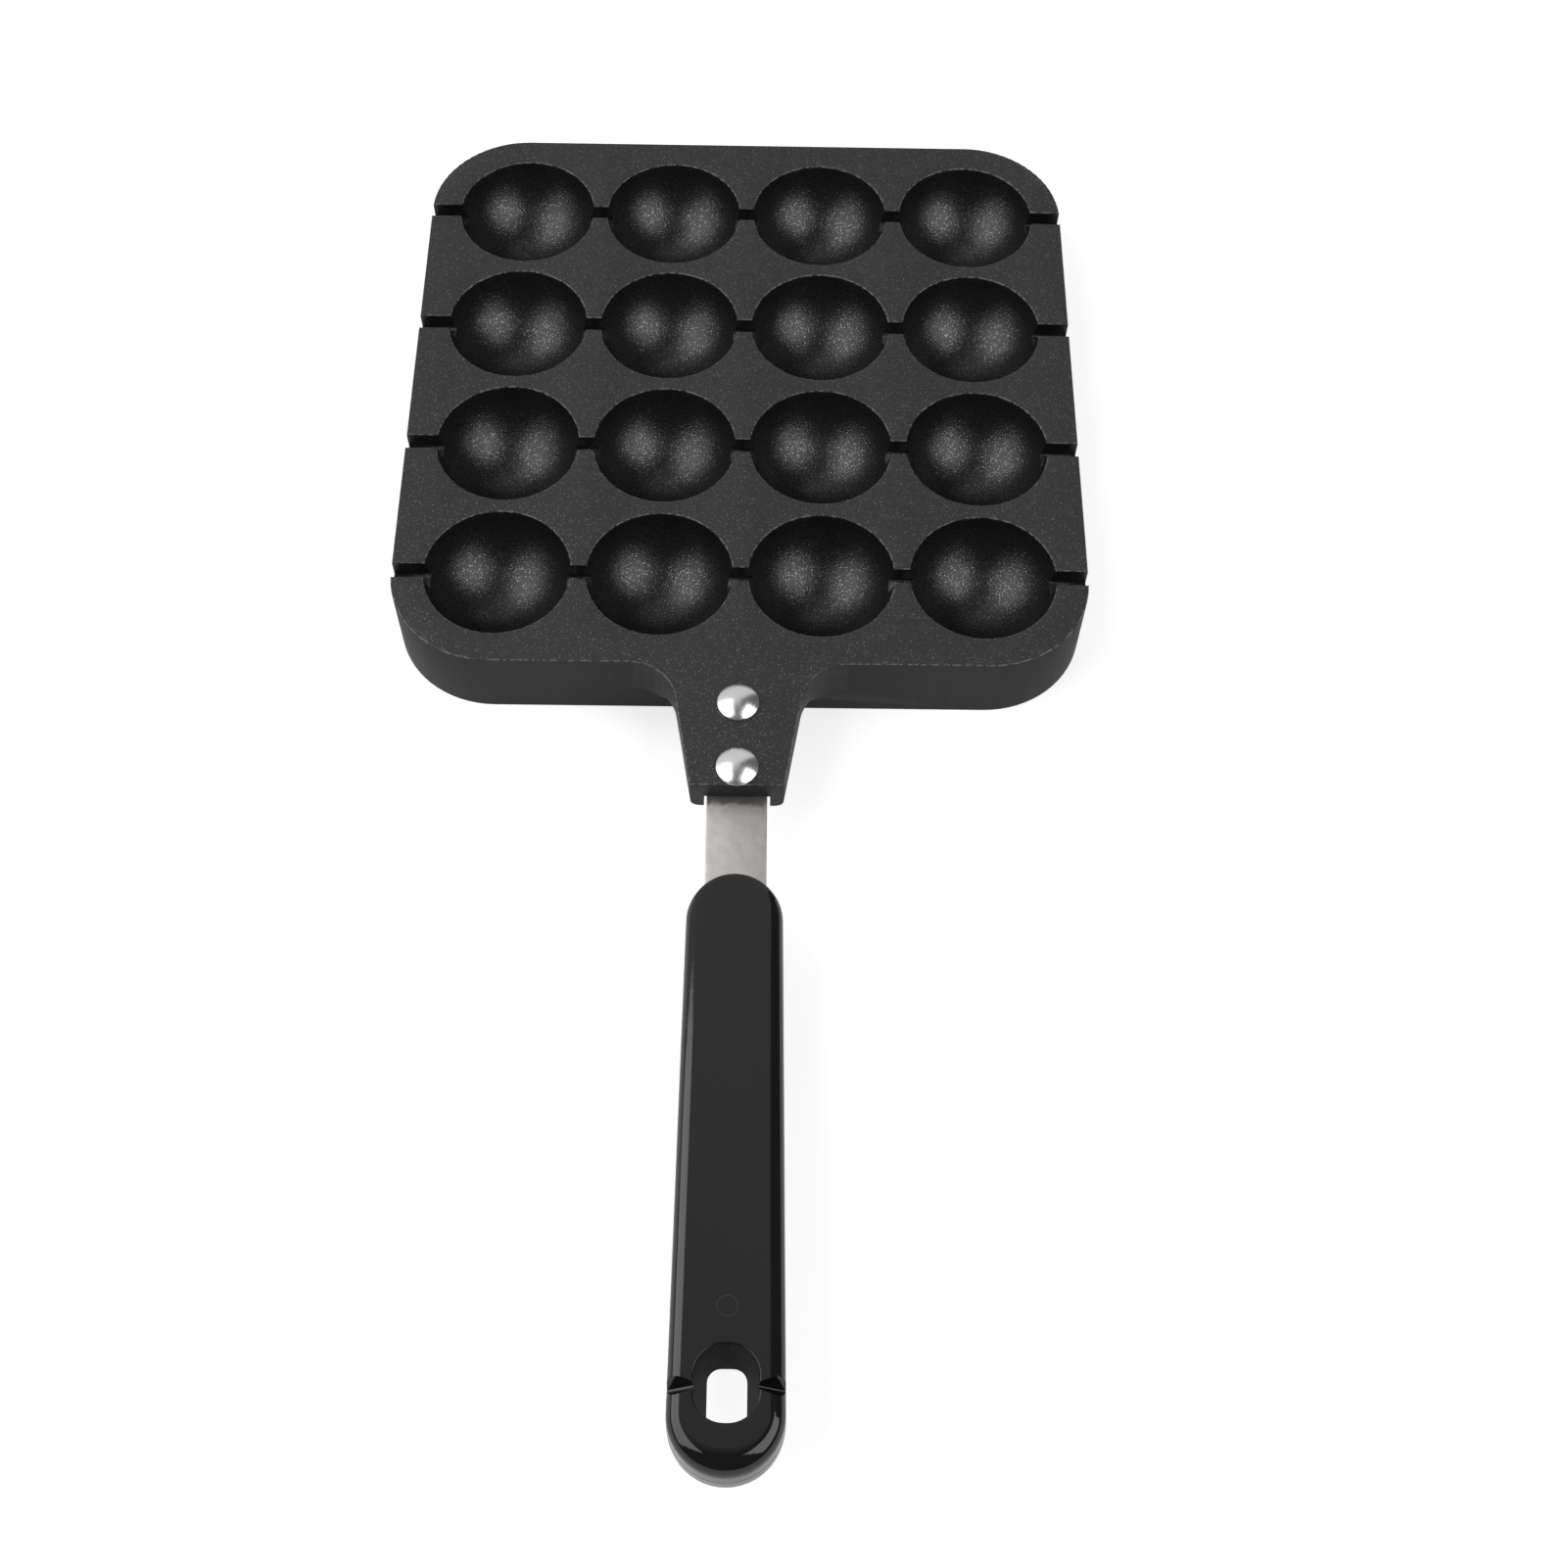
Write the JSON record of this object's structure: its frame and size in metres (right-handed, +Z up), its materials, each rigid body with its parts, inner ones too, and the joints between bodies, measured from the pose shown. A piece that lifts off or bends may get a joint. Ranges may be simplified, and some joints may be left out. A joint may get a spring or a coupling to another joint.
{
  "type": "takoyaki pan",
  "caption": "Square cast griddle plate with a grid of half-ball cups joined by slots, a strap handle riveted under its neck and a moulded black grip with a hanging hole.",
  "frame": {"origin": "centre of the cup grid on the plane that the skirt's rim stands on", "axes": "+Z up out of the cups, +Y away from the handle, +X to the right with the handle towards the viewer"},
  "size_m": [0.1764, 0.3721, 0.0277],
  "materials": {
    "coated_cast_aluminium": "matte dark grey baked coating with fine metallic flecks",
    "strap_steel": "tumbled stainless steel, satin",
    "rivet_aluminium": "polished dome",
    "grip_phenolic": "glossy moulded black phenolic",
    "fastener_steel": "zinc-bright steel"
  },
  "bodies": {
    "root": {"pan_body": "coated_cast_aluminium", "handle_strap": "strap_steel", "front_rivet": "rivet_aluminium", "rear_rivet": "rivet_aluminium", "grip": "grip_phenolic", "grip_washer": "fastener_steel", "lock_washer": "fastener_steel", "grip_screw": "fastener_steel"}
  },
  "joints": []
}
